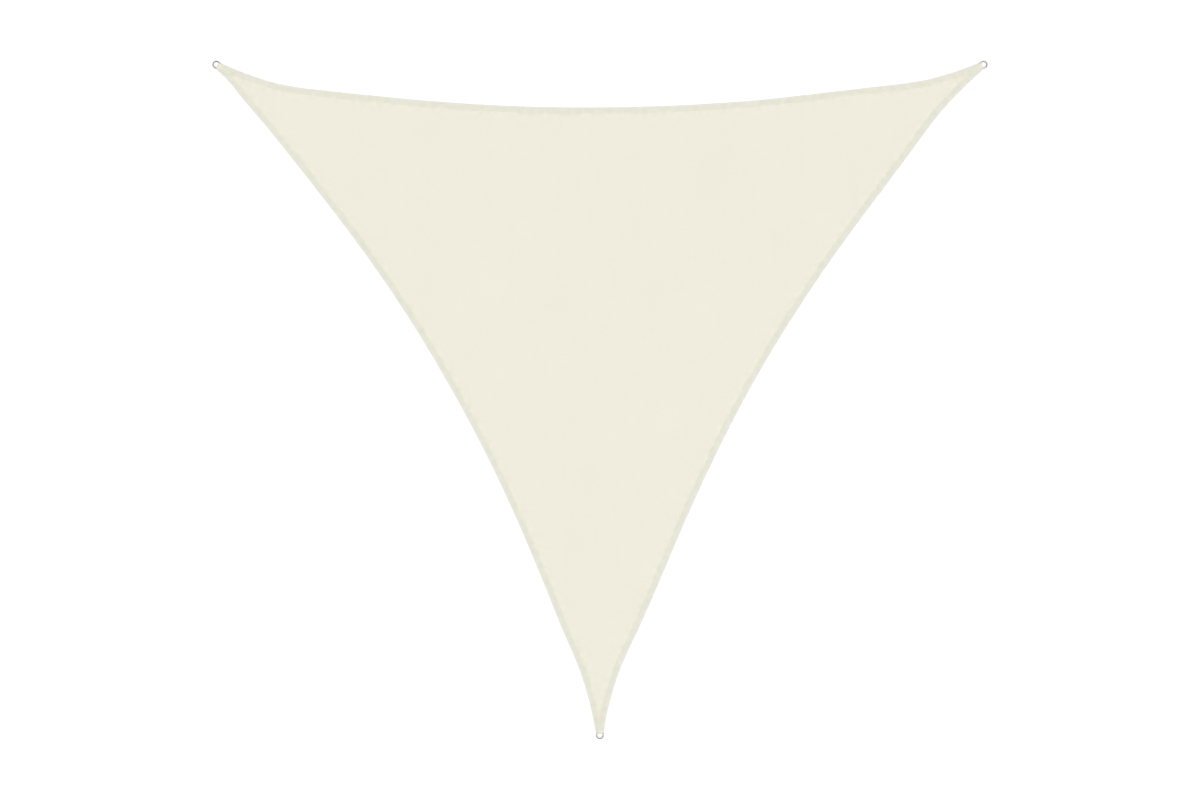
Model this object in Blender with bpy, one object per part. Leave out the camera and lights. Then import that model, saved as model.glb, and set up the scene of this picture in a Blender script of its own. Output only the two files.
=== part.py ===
"""Three-cornered shade sail, lying flat and face up.

Units are metres, +Z up. The origin is on the surface that the sail lies on, under the middle of the
outline's box. +X runs along the rear edge, and the front corner points to -Y. Each corner has a D-ring,
held by a loop of webbing that is sewn to both faces of the cloth's tip.
"""

import math

import bmesh
import bpy
from mathutils import Matrix, Vector
from mathutils.geometry import delaunay_2d_cdt, intersect_line_line_2d

MM = 0.001

# ---- driving dimensions ----
SIDE_LENGTH = 3.600            # left and right side, between the ring bows' centres
REAR_LENGTH = 3.575            # rear side, between the ring bows' centres
GAP = 0.3 * MM                 # clearance between pieces that touch

CLOTH_THICKNESS = 1.2 * MM
HEM_THICKNESS = 2.6 * MM
HEM_WIDTH = 30.0 * MM
HEM_ROUNDING = 0.9 * MM        # the folded edge's roundness
HEM_SHOULDER = 2.2 * MM        # height of the hem beside the folded edge
HEM_AT_SEAM = 2.3 * MM         # height of the hem beside its seam
SEAM_STEP = 1.0 * MM           # width of the step from the hem down to the panel

TIP_SETBACK = 15.0 * MM        # from the ring bow's centre in to the cloth's blunt end
TIP_HALF_WIDTH = 18.8 * MM
TIP_CORNER_RADIUS = 3.0 * MM
LIFT_FULL_TO = 86.0 * MM       # the tip lies on its strap's lower tail up to here from the bow's centre
LIFT_GONE_AT = 135.0 * MM      # and the cloth is back on the surface here

RING_WIRE = 5.0 * MM
RING_INNER_WIDTH = 25.0 * MM
RING_BEND_RADIUS = 3.5 * MM    # centre line of the bends beside the bar
RING_BAR_SETBACK = 11.5 * MM   # from the bow's centre in to the bar's centre

STRAP_WIDTH = 24.0 * MM
STRAP_THICKNESS = 1.5 * MM
STRAP_TAIL_END = 78.0 * MM     # from the bow's centre in to the tails' ends
STRAP_FALL_ANGLE = math.radians(20)
STRAP_EASING = 2.2 * MM

# ---- how finely the shapes are divided ----
EDGE_STEP_MIN = 12.0 * MM
EDGE_STEP_MAX = 90.0 * MM
EDGE_STEP_GROWTH = 0.12        # a step's share of the distance to the nearer tip
CURVE_SAMPLES = 2000           # along one edge, before its points are picked out
CLOSEST_POINTS = 1.0 * MM      # along an inset edge
PANEL_PITCH = 0.20
GRID_CLEARANCE = 0.08          # from the panel's points to its border
TIP_ARC_STEPS = 3
BOW_STEPS = 15                 # odd, so that a flat facet faces in at the bow's top
BEND_STEPS = 4
WIRE_SIDES = 12
WRAP_STEPS = 12

# ---- how far each edge is drawn in from the straight line between its two ring bows ----
# anticlockwise seen from above; columns: share of the line's length, inset in millimetres
LEFT_EDGE = (
    (0.025, 11), (0.050, 25), (0.100, 58), (0.150, 87), (0.200, 114), (0.300, 161),
    (0.400, 191), (0.500, 200), (0.600, 192), (0.700, 165), (0.800, 121), (0.850, 96),
    (0.900, 76), (0.925, 61), (0.950, 40), (0.975, 14),
)
RIGHT_EDGE = (
    (0.025, 18), (0.050, 43), (0.075, 64), (0.100, 77), (0.150, 92), (0.200, 111),
    (0.300, 153), (0.400, 183), (0.500, 196), (0.600, 187), (0.700, 160), (0.800, 117),
    (0.850, 95), (0.900, 74), (0.925, 60), (0.950, 38), (0.975, 13),
)
REAR_EDGE = (
    (0.025, 19), (0.050, 47), (0.075, 71), (0.100, 86), (0.150, 107), (0.200, 128),
    (0.300, 167), (0.400, 190), (0.500, 199), (0.600, 195), (0.700, 175), (0.800, 143),
    (0.850, 124), (0.900, 102), (0.925, 84), (0.950, 56), (0.975, 23),
)

# ---- sizes that follow ----
WIRE_RADIUS = RING_WIRE / 2
BOW_RADIUS = RING_INNER_WIDTH / 2 + WIRE_RADIUS
SAIL_DEPTH = math.sqrt(SIDE_LENGTH**2 - (REAR_LENGTH / 2)**2)
TIP_LIFT = STRAP_THICKNESS + GAP
WRAP_RADIUS = WIRE_RADIUS + GAP + STRAP_THICKNESS / 2
BAR_HEIGHT = STRAP_THICKNESS / 2 + WRAP_RADIUS
UPPER_TAIL_HEIGHT = TIP_LIFT + HEM_THICKNESS + GAP + STRAP_THICKNESS / 2
RING_TILT = math.asin((BAR_HEIGHT - WIRE_RADIUS) / (RING_BAR_SETBACK + BOW_RADIUS))


class Corner:
    """A corner of the sail: its ring bow's centre, and the direction in which the ring points.

    The direction is the middle one between the corner's two sides, plus the small turn that the tip takes.
    """

    def __init__(self, name, centre, middle_deg, turn_deg):
        self.name = name
        self.centre = Vector(centre)
        self.heading = math.radians(middle_deg + turn_deg)
        self.outward = Vector((math.cos(self.heading), math.sin(self.heading)))
        self.side = Vector((-self.outward.y, self.outward.x))

    def inward_distance(self, point):
        """How far a point lies in from the bow's centre, along the corner's axis."""
        return -(point - self.centre).dot(self.outward)

    def across(self, point):
        """How far a point lies to the side of the corner's axis."""
        return (point - self.centre).dot(self.side)

    def point(self, inward, across):
        return self.centre - self.outward * inward + self.side * across


SIDE_LEAN_DEG = math.degrees(math.acos(REAR_LENGTH / 2 / SIDE_LENGTH))
CORNERS = (
    Corner("rear_left", (-REAR_LENGTH / 2, SAIL_DEPTH / 2), 180 - SIDE_LEAN_DEG / 2, -4.0),
    Corner("front", (0, -SAIL_DEPTH / 2), 270, 1.5),
    Corner("rear_right", (REAR_LENGTH / 2, SAIL_DEPTH / 2), SIDE_LEAN_DEG / 2, 2.0),
)
# the three edges: start corner, end corner, table
EDGES = (
    (CORNERS[0], CORNERS[1], LEFT_EDGE),
    (CORNERS[1], CORNERS[2], RIGHT_EDGE),
    (CORNERS[2], CORNERS[0], REAR_EDGE),
)


# ---- the cloth's outline ----

def smooth_curve(points, share):
    """A point on the smooth curve through the given points, at a share of their number."""
    last = len(points) - 1
    place = min(max(share, 0.0), 1.0) * last
    index = min(int(place), last - 1)
    here, there = points[index], points[index + 1]
    before = points[index - 1] if index > 0 else here * 2 - there
    after = points[index + 2] if index + 2 <= last else there * 2 - here
    span = (there - here).length
    leave = tangent(before, here, there) * span
    arrive = tangent(here, there, after) * span
    t = place - index
    return (
        here * (2 * t**3 - 3 * t**2 + 1)
        + leave * (t**3 - 2 * t**2 + t)
        + there * (3 * t**2 - 2 * t**3)
        + arrive * (t**3 - t**2)
    )


def tangent(before, here, there):
    """The curve's direction at a point, weighted towards the nearer neighbour."""
    back = here - before
    forth = there - here
    total = back.length + forth.length
    return (back / back.length) * (forth.length / total) + (forth / forth.length) * (back.length / total)


def tip_end_points(corner):
    """Half of a corner's blunt end, from the axis to the start of the edge on the positive side."""
    points = [corner.point(TIP_SETBACK, 0.0)]
    for step in range(TIP_ARC_STEPS + 1):
        angle = math.radians(90) * step / TIP_ARC_STEPS
        inward = TIP_SETBACK + TIP_CORNER_RADIUS * (1 - math.cos(angle))
        across = TIP_HALF_WIDTH - TIP_CORNER_RADIUS * (1 - math.sin(angle))
        points.append(corner.point(inward, across))
    return points


def mirrored(corner, points):
    """The same points on the other side of a corner's axis, in reverse order."""
    return [corner.point(corner.inward_distance(p), -corner.across(p)) for p in reversed(points)]


def edge_points(start, end, table):
    """An edge's points, from where one tip's round corner ends to where the next begins."""
    line = end.centre - start.centre
    inward = Vector((-line.y, line.x)).normalized()
    through = [tip_end_points(start)[-1]]
    through += [start.centre + line * share + inward * inset * MM for share, inset in table]
    through += [mirrored(end, tip_end_points(end))[0]]
    dense = [smooth_curve(through, i / CURVE_SAMPLES) for i in range(CURVE_SAMPLES + 1)]
    travelled = [0.0]
    for previous, current in zip(dense, dense[1:]):
        travelled.append(travelled[-1] + (current - previous).length)
    points = []
    wanted = 0.0
    for point, distance in zip(dense, travelled):
        remaining = travelled[-1] - distance
        if distance >= wanted and remaining > EDGE_STEP_MIN / 2:
            points.append(point)
            step = min(distance, remaining) * EDGE_STEP_GROWTH
            wanted = distance + min(max(step, EDGE_STEP_MIN), EDGE_STEP_MAX)
    points.append(through[-1])
    return points


def outline_loop(edges):
    """The cloth's outline, anticlockwise, with its three blunt tips."""
    loop = []
    for (_, end, _), points in zip(EDGES, edges):
        half = tip_end_points(end)
        loop += points[:-1]
        loop += mirrored(end, half)[:-1]
        loop += half[:-1]
    return loop


def normals_of(points, closed):
    """The inward normal at each point of an anticlockwise line."""
    count = len(points)
    normals = []
    for i, point in enumerate(points):
        before = points[i - 1] if closed or i > 0 else point
        after = points[(i + 1) % count] if closed or i + 1 < count else point
        back = (point - before).normalized() if before != point else (after - point).normalized()
        forth = (after - point).normalized() if after != point else back
        bisector = (back + forth).normalized()
        normal = Vector((-bisector.y, bisector.x))
        straight = Vector((-forth.y, forth.x))
        normals.append(normal / max(normal.dot(straight), 0.5))
    return normals


def inset_whole(loop, inset):
    """The outline drawn in by a small inset, point for point."""
    return [point + normal * inset for point, normal in zip(loop, normals_of(loop, True))]


def cut_at_blunt_end(points, corner, inset):
    """The points that lie further in than a corner's inset blunt end, and the point on that end's line."""
    kept = []
    limit = TIP_SETBACK + inset
    for before, after in zip(points, points[1:]):
        low = corner.inward_distance(before) - limit
        high = corner.inward_distance(after) - limit
        if low < 0 <= high:
            kept.append(before.lerp(after, low / (low - high)))
        if high >= 0:
            kept.append(after)
    return kept


def join_at_corner(arriving, leaving, corner, inset):
    """Cuts two inset edges where they cross near a corner or, if they don't, at its blunt end."""
    tail = len(arriving) // 3
    for i in range(len(arriving) - tail, len(arriving) - 1):
        for j in range(tail):
            crossing = intersect_line_line_2d(arriving[i], arriving[i + 1], leaving[j], leaving[j + 1])
            if crossing is not None:
                return arriving[:i + 1], [crossing] + leaving[j + 1:]
    arriving = cut_at_blunt_end(arriving[::-1], corner, inset)[::-1]
    return arriving, cut_at_blunt_end(leaving, corner, inset)


def inset_loop(edges, inset):
    """The whole outline drawn in by an inset. Its corners are sharp once the two edges meet."""
    lines = []
    for points in edges:
        lines.append([point + normal * inset for point, normal in zip(points, normals_of(points, False))])
    for this, (_, end, _) in enumerate(EDGES):
        following = (this + 1) % len(EDGES)
        lines[this], lines[following] = join_at_corner(lines[this], lines[following], end, inset)
    loop = []
    for line in lines:
        for point in line:
            if not loop or (point - loop[-1]).length > CLOSEST_POINTS:
                loop.append(point)
    return loop


def inside(point, loop):
    """Whether a point is inside a loop."""
    crossings = False
    for a, b in zip(loop, loop[1:] + loop[:1]):
        if (a.y > point.y) != (b.y > point.y) and point.x < (b.x - a.x) * (point.y - a.y) / (b.y - a.y) + a.x:
            crossings = not crossings
    return crossings


def panel_grid(border):
    """A staggered grid of points inside the panel, clear of its border."""
    row_pitch = PANEL_PITCH * math.sqrt(3) / 2
    rows = int(SAIL_DEPTH / row_pitch) + 1
    columns = int(REAR_LENGTH / PANEL_PITCH) + 2
    points = []
    for row in range(-rows, rows + 1):
        for column in range(-columns, columns + 1):
            x = (column + 0.5 * (row % 2)) * PANEL_PITCH
            point = Vector((x, row * row_pitch))
            clear = min((point - other).length for other in border) > GRID_CLEARANCE
            if clear and inside(point, border):
                points.append(point)
    return points


# ---- the solids ----

def lift_at(point):
    """How high the cloth is held off the surface by the strap under its tip."""
    for corner in CORNERS:
        distance = corner.inward_distance(point)
        if distance < LIFT_GONE_AT and abs(corner.across(point)) < LIFT_GONE_AT:
            share = (LIFT_GONE_AT - distance) / (LIFT_GONE_AT - LIFT_FULL_TO)
            share = min(max(share, 0.0), 1.0)
            return TIP_LIFT * share**2 * (3 - 2 * share)
    return 0.0


def add_face_side(bm, rim, levels, grid, grid_height, upward):
    """Triangulates one face of the cloth inside its rim, whose vertices exist already.

    levels holds the loops inside the rim, each with its height.
    """
    flat = [Vector(vertex.co[:2]) for vertex in rim]
    loops = [list(range(len(rim)))]
    vertices = list(rim)
    for loop, height in levels:
        first = len(vertices)
        for point in loop:
            flat.append(point)
            vertices.append(bm.verts.new((point.x, point.y, height + lift_at(point))))
        loops.append(list(range(first, len(vertices))))
    for point in grid:
        flat.append(point)
        vertices.append(bm.verts.new((point.x, point.y, grid_height + lift_at(point))))
    borders = [pair for loop in loops for pair in zip(loop, loop[1:] + loop[:1])]
    _, _, triangles, sources, _, _ = delaunay_2d_cdt(flat, borders, [loops[0]], 1, 1e-7)
    for triangle in triangles:
        corners = [vertices[sources[i][0]] for i in triangle]
        a, b, c = [vertex.co for vertex in corners]
        faces_up = (b.x - a.x) * (c.y - a.y) - (b.y - a.y) * (c.x - a.x) > 0
        bm.faces.new(corners if faces_up == upward else corners[::-1])


def cloth_mesh():
    edges = [edge_points(start, end, table) for start, end, table in EDGES]
    fold = outline_loop(edges)
    shoulder = inset_whole(fold, HEM_ROUNDING)
    crown = inset_loop(edges, HEM_WIDTH / 2)
    seam = inset_loop(edges, HEM_WIDTH)
    panel = inset_loop(edges, HEM_WIDTH + SEAM_STEP)
    grid = panel_grid(panel)

    bm = bmesh.new()
    rims = []
    for loop, height in ((shoulder, 0.0), (fold, HEM_THICKNESS / 2), (shoulder, HEM_SHOULDER)):
        rims.append([bm.verts.new((p.x, p.y, height + lift_at(p))) for p in loop])
    for low, high in zip(rims, rims[1:]):
        for i in range(len(low)):
            j = (i + 1) % len(low)
            bm.faces.new((low[i], low[j], high[j], high[i]))
    top_levels = ((crown, HEM_THICKNESS), (seam, HEM_AT_SEAM), (panel, CLOTH_THICKNESS))
    add_face_side(bm, rims[2], top_levels, grid, CLOTH_THICKNESS, True)
    add_face_side(bm, rims[0], ((crown, 0.0), (panel, 0.0)), grid, 0.0, False)
    return finished_mesh(bm, "sail_cloth")


def ring_path():
    """The ring's centre line in its own plane: +X is outward, and the bow's centre is at the origin."""
    points = []
    for step in range(BOW_STEPS + 1):
        angle = math.radians(-90 + 180 * step / BOW_STEPS)
        points.append(Vector((BOW_RADIUS * math.cos(angle), BOW_RADIUS * math.sin(angle))))
    bend_x = RING_BEND_RADIUS - RING_BAR_SETBACK
    bend_y = BOW_RADIUS - RING_BEND_RADIUS
    for sign, first_angle in ((1, 90), (-1, 180)):
        for step in range(BEND_STEPS + 1):
            angle = math.radians(first_angle + 90 * step / BEND_STEPS)
            x = bend_x + RING_BEND_RADIUS * math.cos(angle)
            y = sign * bend_y + RING_BEND_RADIUS * math.sin(angle)
            points.append(Vector((x, y)))
    return points


def ring_mesh():
    """A D-ring of round wire, tilted about its bar so that its bow comes down to the surface."""
    path = ring_path()
    count = len(path)
    tilt = Matrix.Translation((-RING_BAR_SETBACK, 0, BAR_HEIGHT)) @ Matrix.Rotation(RING_TILT, 4, "Y")
    bm = bmesh.new()
    sections = []
    for i, point in enumerate(path):
        back = (point - path[i - 1]).normalized()
        forth = (path[(i + 1) % count] - point).normalized()
        along = (back + forth).normalized()
        outward = Vector((along.y, -along.x))
        widen = 1 / outward.dot(Vector((forth.y, -forth.x)))
        section = []
        for k in range(WIRE_SIDES):
            angle = 2 * math.pi * (k + 0.5) / WIRE_SIDES
            reach = WIRE_RADIUS * math.cos(angle) * widen
            height = WIRE_RADIUS * math.sin(angle)
            x, y = point + outward * reach
            local = Vector((x + RING_BAR_SETBACK, y, height))
            section.append(bm.verts.new(tilt @ local))
        sections.append(section)
    for i in range(count):
        here, there = sections[i], sections[(i + 1) % count]
        for k in range(WIRE_SIDES):
            m = (k + 1) % WIRE_SIDES
            bm.faces.new((here[k], there[k], there[m], here[m]))
    bmesh.ops.triangulate(bm, faces=bm.faces[:])
    return finished_mesh(bm, "d_ring")


def strap_line():
    """The strap's centre line: how far in each point is from the bow's centre, and its height."""
    line = [Vector((STRAP_TAIL_END, STRAP_THICKNESS / 2))]
    for step in range(WRAP_STEPS + 1):
        angle = math.radians(-90) - (math.pi + STRAP_FALL_ANGLE) * step / WRAP_STEPS
        inward = RING_BAR_SETBACK + WRAP_RADIUS * math.cos(angle)
        height = BAR_HEIGHT + WRAP_RADIUS * math.sin(angle)
        line.append(Vector((inward, height)))
    # the upper tail falls straight to the cloth's tip and is eased into its level stretch
    leave = line[-1]
    slope = math.tan(STRAP_FALL_ANGLE)
    landing = leave.x + (leave.y - UPPER_TAIL_HEIGHT) / slope
    line.append(Vector((landing - STRAP_EASING, UPPER_TAIL_HEIGHT + STRAP_EASING * slope)))
    line.append(Vector((landing, UPPER_TAIL_HEIGHT + STRAP_EASING * slope / 4)))
    line.append(Vector((landing + STRAP_EASING, UPPER_TAIL_HEIGHT)))
    line.append(Vector((STRAP_TAIL_END, UPPER_TAIL_HEIGHT)))
    return line


def strap_mesh():
    """A flat strap round the ring's bar, with one tail under the cloth's tip and the other on it."""
    line = strap_line()
    offsets = normals_of(line, False)
    outer = [point + normal * STRAP_THICKNESS / 2 for point, normal in zip(line, offsets)]
    inner = [point - normal * STRAP_THICKNESS / 2 for point, normal in zip(line, offsets)]
    bm = bmesh.new()
    rows = []
    for row in (inner, outer):
        for across in (-STRAP_WIDTH / 2, STRAP_WIDTH / 2):
            rows.append([bm.verts.new((-point.x, across, point.y)) for point in row])
    inner_right, inner_left, outer_right, outer_left = rows
    ring_of_rows = (inner_right, inner_left, outer_left, outer_right)
    for one, other in zip(ring_of_rows, ring_of_rows[1:] + ring_of_rows[:1]):
        for i in range(len(line) - 1):
            bm.faces.new((one[i], one[i + 1], other[i + 1], other[i]))
    for end in (0, -1):
        bm.faces.new([row[end] for row in ring_of_rows])
    bmesh.ops.recalc_face_normals(bm, faces=bm.faces[:])
    return finished_mesh(bm, "strap")


def finished_mesh(bm, name):
    mesh = bpy.data.meshes.new(name)
    bm.to_mesh(mesh)
    bm.free()
    mesh.shade_smooth()
    mesh.set_sharp_from_angle(angle=math.radians(35))
    return mesh


# ---- materials and objects ----

def plain_material(name, colour, roughness, metallic):
    material = bpy.data.materials.new(name)
    material.use_nodes = True
    shader = material.node_tree.nodes["Principled BSDF"]
    shader.inputs["Base Color"].default_value = (*colour, 1.0)
    shader.inputs["Roughness"].default_value = roughness
    shader.inputs["Metallic"].default_value = metallic
    return material


def add_object(name, mesh, material):
    piece = bpy.data.objects.new(name, mesh)
    bpy.context.scene.collection.objects.link(piece)
    if not mesh.materials:
        mesh.materials.append(material)
    return piece


def main():
    for old in list(bpy.data.objects):
        bpy.data.objects.remove(old, do_unlink=True)

    cloth_cream = plain_material("cloth_cream", (0.87, 0.84, 0.73), 0.9, 0.0)
    webbing_cream = plain_material("webbing_cream", (0.79, 0.80, 0.68), 0.8, 0.0)
    ring_steel = plain_material("ring_steel", (0.60, 0.60, 0.59), 0.3, 1.0)

    add_object("sail_cloth", cloth_mesh(), cloth_cream)
    ring = ring_mesh()
    strap = strap_mesh()
    for corner in CORNERS:
        holder = bpy.data.objects.new("corner_" + corner.name, None)
        bpy.context.scene.collection.objects.link(holder)
        holder.location = (*corner.centre, 0.0)
        holder.rotation_euler = (0.0, 0.0, corner.heading)
        for mesh, material in ((ring, ring_steel), (strap, webbing_cream)):
            kind = "ring_" if mesh is ring else "strap_"
            add_object(kind + corner.name, mesh, material).parent = holder


main()
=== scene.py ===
"""The looks of a three-cornered shade sail that lies flat and face up on a pale studio floor.

Units are metres, in the frame of the sail's solids: the floor is at z = 0, +X runs along the rear edge
and the front corner points to -Y. The knitted cloth with its turned hem, the sewing, the webbing straps
and the D-rings are each modelled here in finer detail than their solids, in the same places.
"""

import math

import bmesh
import bpy
import numpy as np
from mathutils import Matrix, Vector, kdtree, noise
from mathutils.geometry import delaunay_2d_cdt


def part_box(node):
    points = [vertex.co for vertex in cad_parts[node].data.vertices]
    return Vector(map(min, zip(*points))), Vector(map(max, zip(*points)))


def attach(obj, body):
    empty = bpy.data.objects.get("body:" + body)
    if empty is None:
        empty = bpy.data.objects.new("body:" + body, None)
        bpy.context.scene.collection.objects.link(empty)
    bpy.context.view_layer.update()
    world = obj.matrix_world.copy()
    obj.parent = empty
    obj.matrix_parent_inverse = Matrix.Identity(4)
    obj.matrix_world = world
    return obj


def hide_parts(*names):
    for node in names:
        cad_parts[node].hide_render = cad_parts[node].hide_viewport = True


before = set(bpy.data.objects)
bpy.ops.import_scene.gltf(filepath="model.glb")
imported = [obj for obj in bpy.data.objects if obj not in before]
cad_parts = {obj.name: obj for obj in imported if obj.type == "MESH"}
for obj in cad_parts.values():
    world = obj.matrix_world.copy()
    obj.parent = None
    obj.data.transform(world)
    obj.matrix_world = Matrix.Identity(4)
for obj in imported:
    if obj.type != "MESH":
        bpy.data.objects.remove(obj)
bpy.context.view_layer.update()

MM = 0.001
WELD_DISTANCE = 0.01 * MM
SHARP_ANGLE = math.radians(50)   # between two faces; from here on their edge isn't shaded smooth

# ---- sizes that the solids have too ----
SIDE_LENGTH = 3.600
REAR_LENGTH = 3.575
GAP = 0.3 * MM
HEM_THICKNESS = 2.6 * MM
TIP_SETBACK = 15.0 * MM        # from the ring bow's centre in to the cloth's blunt end
LIFT_FULL_TO = 86.0 * MM       # in from the ring bow's centre
LIFT_GONE_AT = 135.0 * MM
WIRE_RADIUS = 2.5 * MM
RING_INNER_WIDTH = 25.0 * MM
RING_BEND_RADIUS = 3.5 * MM
RING_BAR_SETBACK = 11.5 * MM   # from the bow's centre in to the bar's centre
STRAP_WIDTH = 24.0 * MM
STRAP_THICKNESS = 1.5 * MM
STRAP_TAIL_END = 78.0 * MM     # in from the ring bow's centre
STRAP_FALL_ANGLE = math.radians(20)
STRAP_EASING = 2.2 * MM

SAIL_DEPTH = math.sqrt(SIDE_LENGTH**2 - (REAR_LENGTH / 2) ** 2)
BOW_RADIUS = RING_INNER_WIDTH / 2 + WIRE_RADIUS
TIP_LIFT = STRAP_THICKNESS + GAP
WRAP_RADIUS = WIRE_RADIUS + GAP + STRAP_THICKNESS / 2
BAR_HEIGHT = STRAP_THICKNESS / 2 + WRAP_RADIUS
UPPER_TAIL_HEIGHT = TIP_LIFT + HEM_THICKNESS + GAP + STRAP_THICKNESS / 2
UPPER_TAIL_TOP = UPPER_TAIL_HEIGHT + STRAP_THICKNESS / 2
RING_TILT = math.asin((BAR_HEIGHT - WIRE_RADIUS) / (RING_BAR_SETBACK + BOW_RADIUS))

# ---- the cloth ----
# Depth is how far in from the folded edge a point of the cloth lies.
# The two faces of the hem, from the folded edge to the panel; columns: depth, height, in millimetres.
# The hem is fullest over the webbing inside, and each of its two rows of stitches pulls a groove into it.
HEM_ROW_DEPTHS = (5.0 * MM, 26.0 * MM)
UPPER_SECTION = (
    (0.00, 1.30), (0.25, 1.95), (0.80, 2.28), (1.80, 2.42), (3.60, 2.42), (4.60, 2.26),
    (5.00, 2.05), (5.40, 2.26), (6.60, 2.48), (10.0, 2.60), (15.0, 2.64), (20.5, 2.58),
    (24.6, 2.44), (25.6, 2.28), (26.0, 2.05), (26.4, 2.26), (27.6, 2.36), (29.7, 2.25),
    (30.2, 1.20),
)
LOWER_SECTION = (
    (0.00, 1.30), (0.25, 0.62), (0.80, 0.20), (1.80, 0.00), (4.40, 0.00), (5.00, 0.42),
    (5.60, 0.00), (25.4, 0.00), (26.0, 0.42), (26.6, 0.00), (30.2, 0.00),
)
# rows of points on the panel beside the seam; columns: depth in millimetres, columns per point
PANEL_ROWS = ((33.0, 1), (39.0, 2), (50.0, 3))
SAMPLE_STEP = 1.0 * MM         # along the outline
COLUMN_STEP = 7                # samples from one column of points to the next
COLUMN_TURN = math.radians(2)  # between two samples; a sharper turn gets a column at once
PANEL_PITCH = 20.0 * MM
PANEL_GRID_FROM = 64.0 * MM    # depth
ROW_SLACK = 0.02 * MM
MEETING_TURN = math.radians(15)
CLEAR_OF_MEETING = 0.6 * MM
ONLY_INSIDE = 1                # the kind of triangulation that leaves out what lies beyond the rim
POINT_TOLERANCE = 1e-7

NOISE_REACH = 0.5              # about as far as noise goes from zero
SWELL_LENGTH = 0.42
SWELL_HEIGHT = 1.6 * MM
SWELL_FROM = 60.0 * MM         # depth
SWELL_FULL_AT = 260.0 * MM
PUCKER_LENGTH = 34.0 * MM      # along the seam
PUCKER_DEPTH = 60.0 * MM       # across it
PUCKER_HEIGHT = 0.9 * MM
PUCKER_MIDDLE = 36.0 * MM      # depth
PUCKER_SPREAD = 20.0 * MM
SWELL_SEED = 7.3
PUCKER_SEED = 2.1

# ---- the sewing ----
THREAD_RADIUS = 0.32 * MM
STITCH_LENGTH = 4.3 * MM
STITCH_PITCH = 5.0 * MM
STITCH_SIDES = 6
# sections of one stitch; columns: share of the half length, share of the thread's radius, height in radii
STITCH_SECTIONS = (
    (-1.0, 0.45, -0.7), (-0.72, 0.95, 0.15), (0.0, 1.0, 0.45), (0.72, 0.95, 0.15), (1.0, 0.45, -0.7),
)
BOX_STITCH_PITCH = 3.6 * MM
BOX_STITCH_LENGTH = 3.1 * MM
BOX_FROM = 29.0 * MM           # in from the ring bow's centre
BOX_TO = 73.0 * MM
BOX_HALF_WIDTH = 9.5 * MM
BOX_STITCH_SUNK = 0.28 * MM    # into the lower tail, which lies on the floor
UP, DOWN = 1.0, -1.0

# ---- the webbing ----
RIB_COUNT = 11
RIB_DEPTH = 0.16 * MM
PICK_PITCH = 2.4 * MM
PICK_DEPTH = 0.07 * MM
EDGE_SQUARENESS = 14           # the power in the section's rounded edges
ACROSS_STEPS = 44
STRAP_STEP = 0.75 * MM         # along the strap
WRAP_STEPS = 32

# ---- the rings ----
BOW_STEPS = 56
BEND_STEPS = 10
WIRE_SIDES = 24

# ---- colours ----
PANEL_COLOUR = (0.769, 0.746, 0.641, 1)
SEAM_COLOUR = (0.727, 0.710, 0.598, 1)      # where the hem is two layers of cloth
WARM_HEM_COLOUR = (0.708, 0.696, 0.555, 1)  # where it has the webbing in it too
COOL_HEM_COLOUR = (0.698, 0.692, 0.633, 1)
FOLD_COLOUR = (0.730, 0.722, 0.655, 1)      # past the webbing, where light comes through from below
THREAD_COLOUR = (0.71, 0.69, 0.57)
WEBBING_COLOUR = (0.724, 0.727, 0.606)
BOW_COLOUR = (0.30, 0.30, 0.295, 1)
LEG_PAINTED_REFLECTION_COLOUR = (0.48, 0.48, 0.47, 1)          # paler, beside the cloth and the strap: painted reflection of them on the legs
FLOOR_COLOUR = (0.95, 0.95, 0.95)

# ---- the knit, and where colours give way to others ----
WALE_PITCH = 3.1 * MM          # from one chain of loops to the next
COURSE_PITCH = 2.3 * MM        # from one tape to the next along a chain
CHAIN_FULL_TO = 0.25 * MM      # off a chain's middle
CHAIN_GONE_AT = 0.85 * MM
CHAIN_LEAN = 1.2               # of the loops: their V's rise over its run
CHAIN_WANDER = 0.5 * MM
TAPE_SHARE = 0.65              # of a chain's height
KNIT_RELIEF = 0.12 * MM
FOLD_ZONE = (4 * MM, 11 * MM)          # depths between which a colour gives way to the next
WEBBING_ZONE = (19 * MM, 24 * MM)
SEAM_ZONE = (29.8 * MM, 30.4 * MM)
MOTTLE_ZONE = (30 * MM, 70 * MM)
MOTTLE_ON_PANEL = 0.1                  # of the mottling on the hem
LEG_REFLECTION_ZONE = (-6 * MM, 4 * MM)           # out along a ring from its bow's centre, where the legs' painted reflection gives way to the bow
WRAP_HIGHLIGHT_ZONE = (-27 * MM, -11 * MM)       # the same for a strap, where its painted highlight on the wrap round the ring comes in

# ---- lengths of the patches of noise along X, Y and Z; the cloth's Z hardly counts ----
WANDER_LENGTHS = (14 * MM, 60 * MM, 1.0)
TINGE_LENGTHS = (70 * MM, 70 * MM, 1.0)
CLOUD_LENGTHS = (220 * MM, 300 * MM, 1.0)
NEEDLE_LINE_LENGTHS = (16 * MM, 1.4, 1.0)
MOTTLE_LENGTHS = (28 * MM, 28 * MM, 1.0)
WEBBING_PATCH_LENGTHS = (9 * MM, 3 * MM, 9 * MM)
DRAWN_LINE_LENGTHS = (6 * MM, 6 * MM, 0.25 * MM)
STEEL_MARK_LENGTHS = (2.5 * MM, 2.5 * MM, 2.5 * MM)
FLOOR_GRAIN_LENGTHS = (0.5, 0.5, 0.5)
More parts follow.
